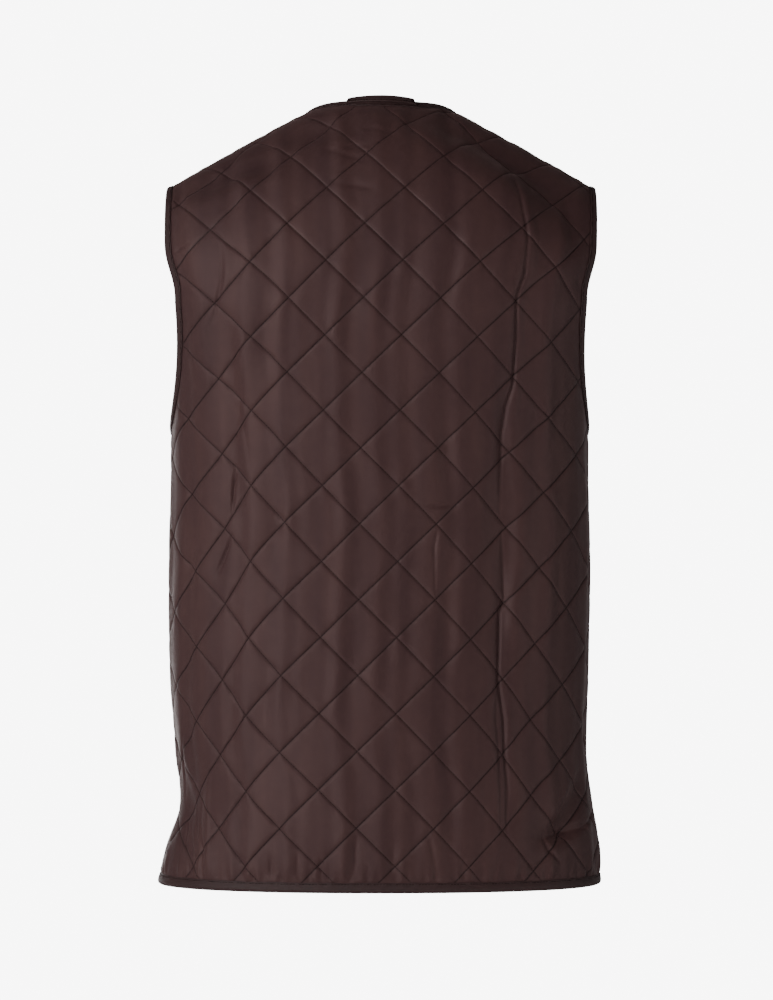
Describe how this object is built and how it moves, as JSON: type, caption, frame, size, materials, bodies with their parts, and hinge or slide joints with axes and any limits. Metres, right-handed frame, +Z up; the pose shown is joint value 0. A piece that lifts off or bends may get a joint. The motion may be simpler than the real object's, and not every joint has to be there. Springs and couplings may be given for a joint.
{
  "type": "quilted vest",
  "caption": "Sleeveless collarless vest of diamond-quilted cloth, worn open, with bound neck, armholes, front edges and hem and a hanger loop.",
  "frame": {"origin": "where the shoulders carry the vest: midway between the two neck points, level with them", "axes": "+Z up, fronts towards -Y, +X towards the wearer's left"},
  "size_m": [0.4379, 0.2577, 0.7728],
  "materials": {
    "shell_cloth": "dark brown plain-weave nylon with a soft sheen, diamond quilted",
    "binding_tape": "dark brown folded tape, matt",
    "loop_tape": "dark brown narrow woven tape, matt"
  },
  "bodies": {
    "root": {"back_panel": "shell_cloth", "front_left_panel": "shell_cloth", "front_right_panel": "shell_cloth", "neck_and_front_binding": "binding_tape", "hem_binding": "binding_tape", "armhole_binding_left": "binding_tape", "armhole_binding_right": "binding_tape", "hanger_loop": "loop_tape"}
  },
  "joints": []
}
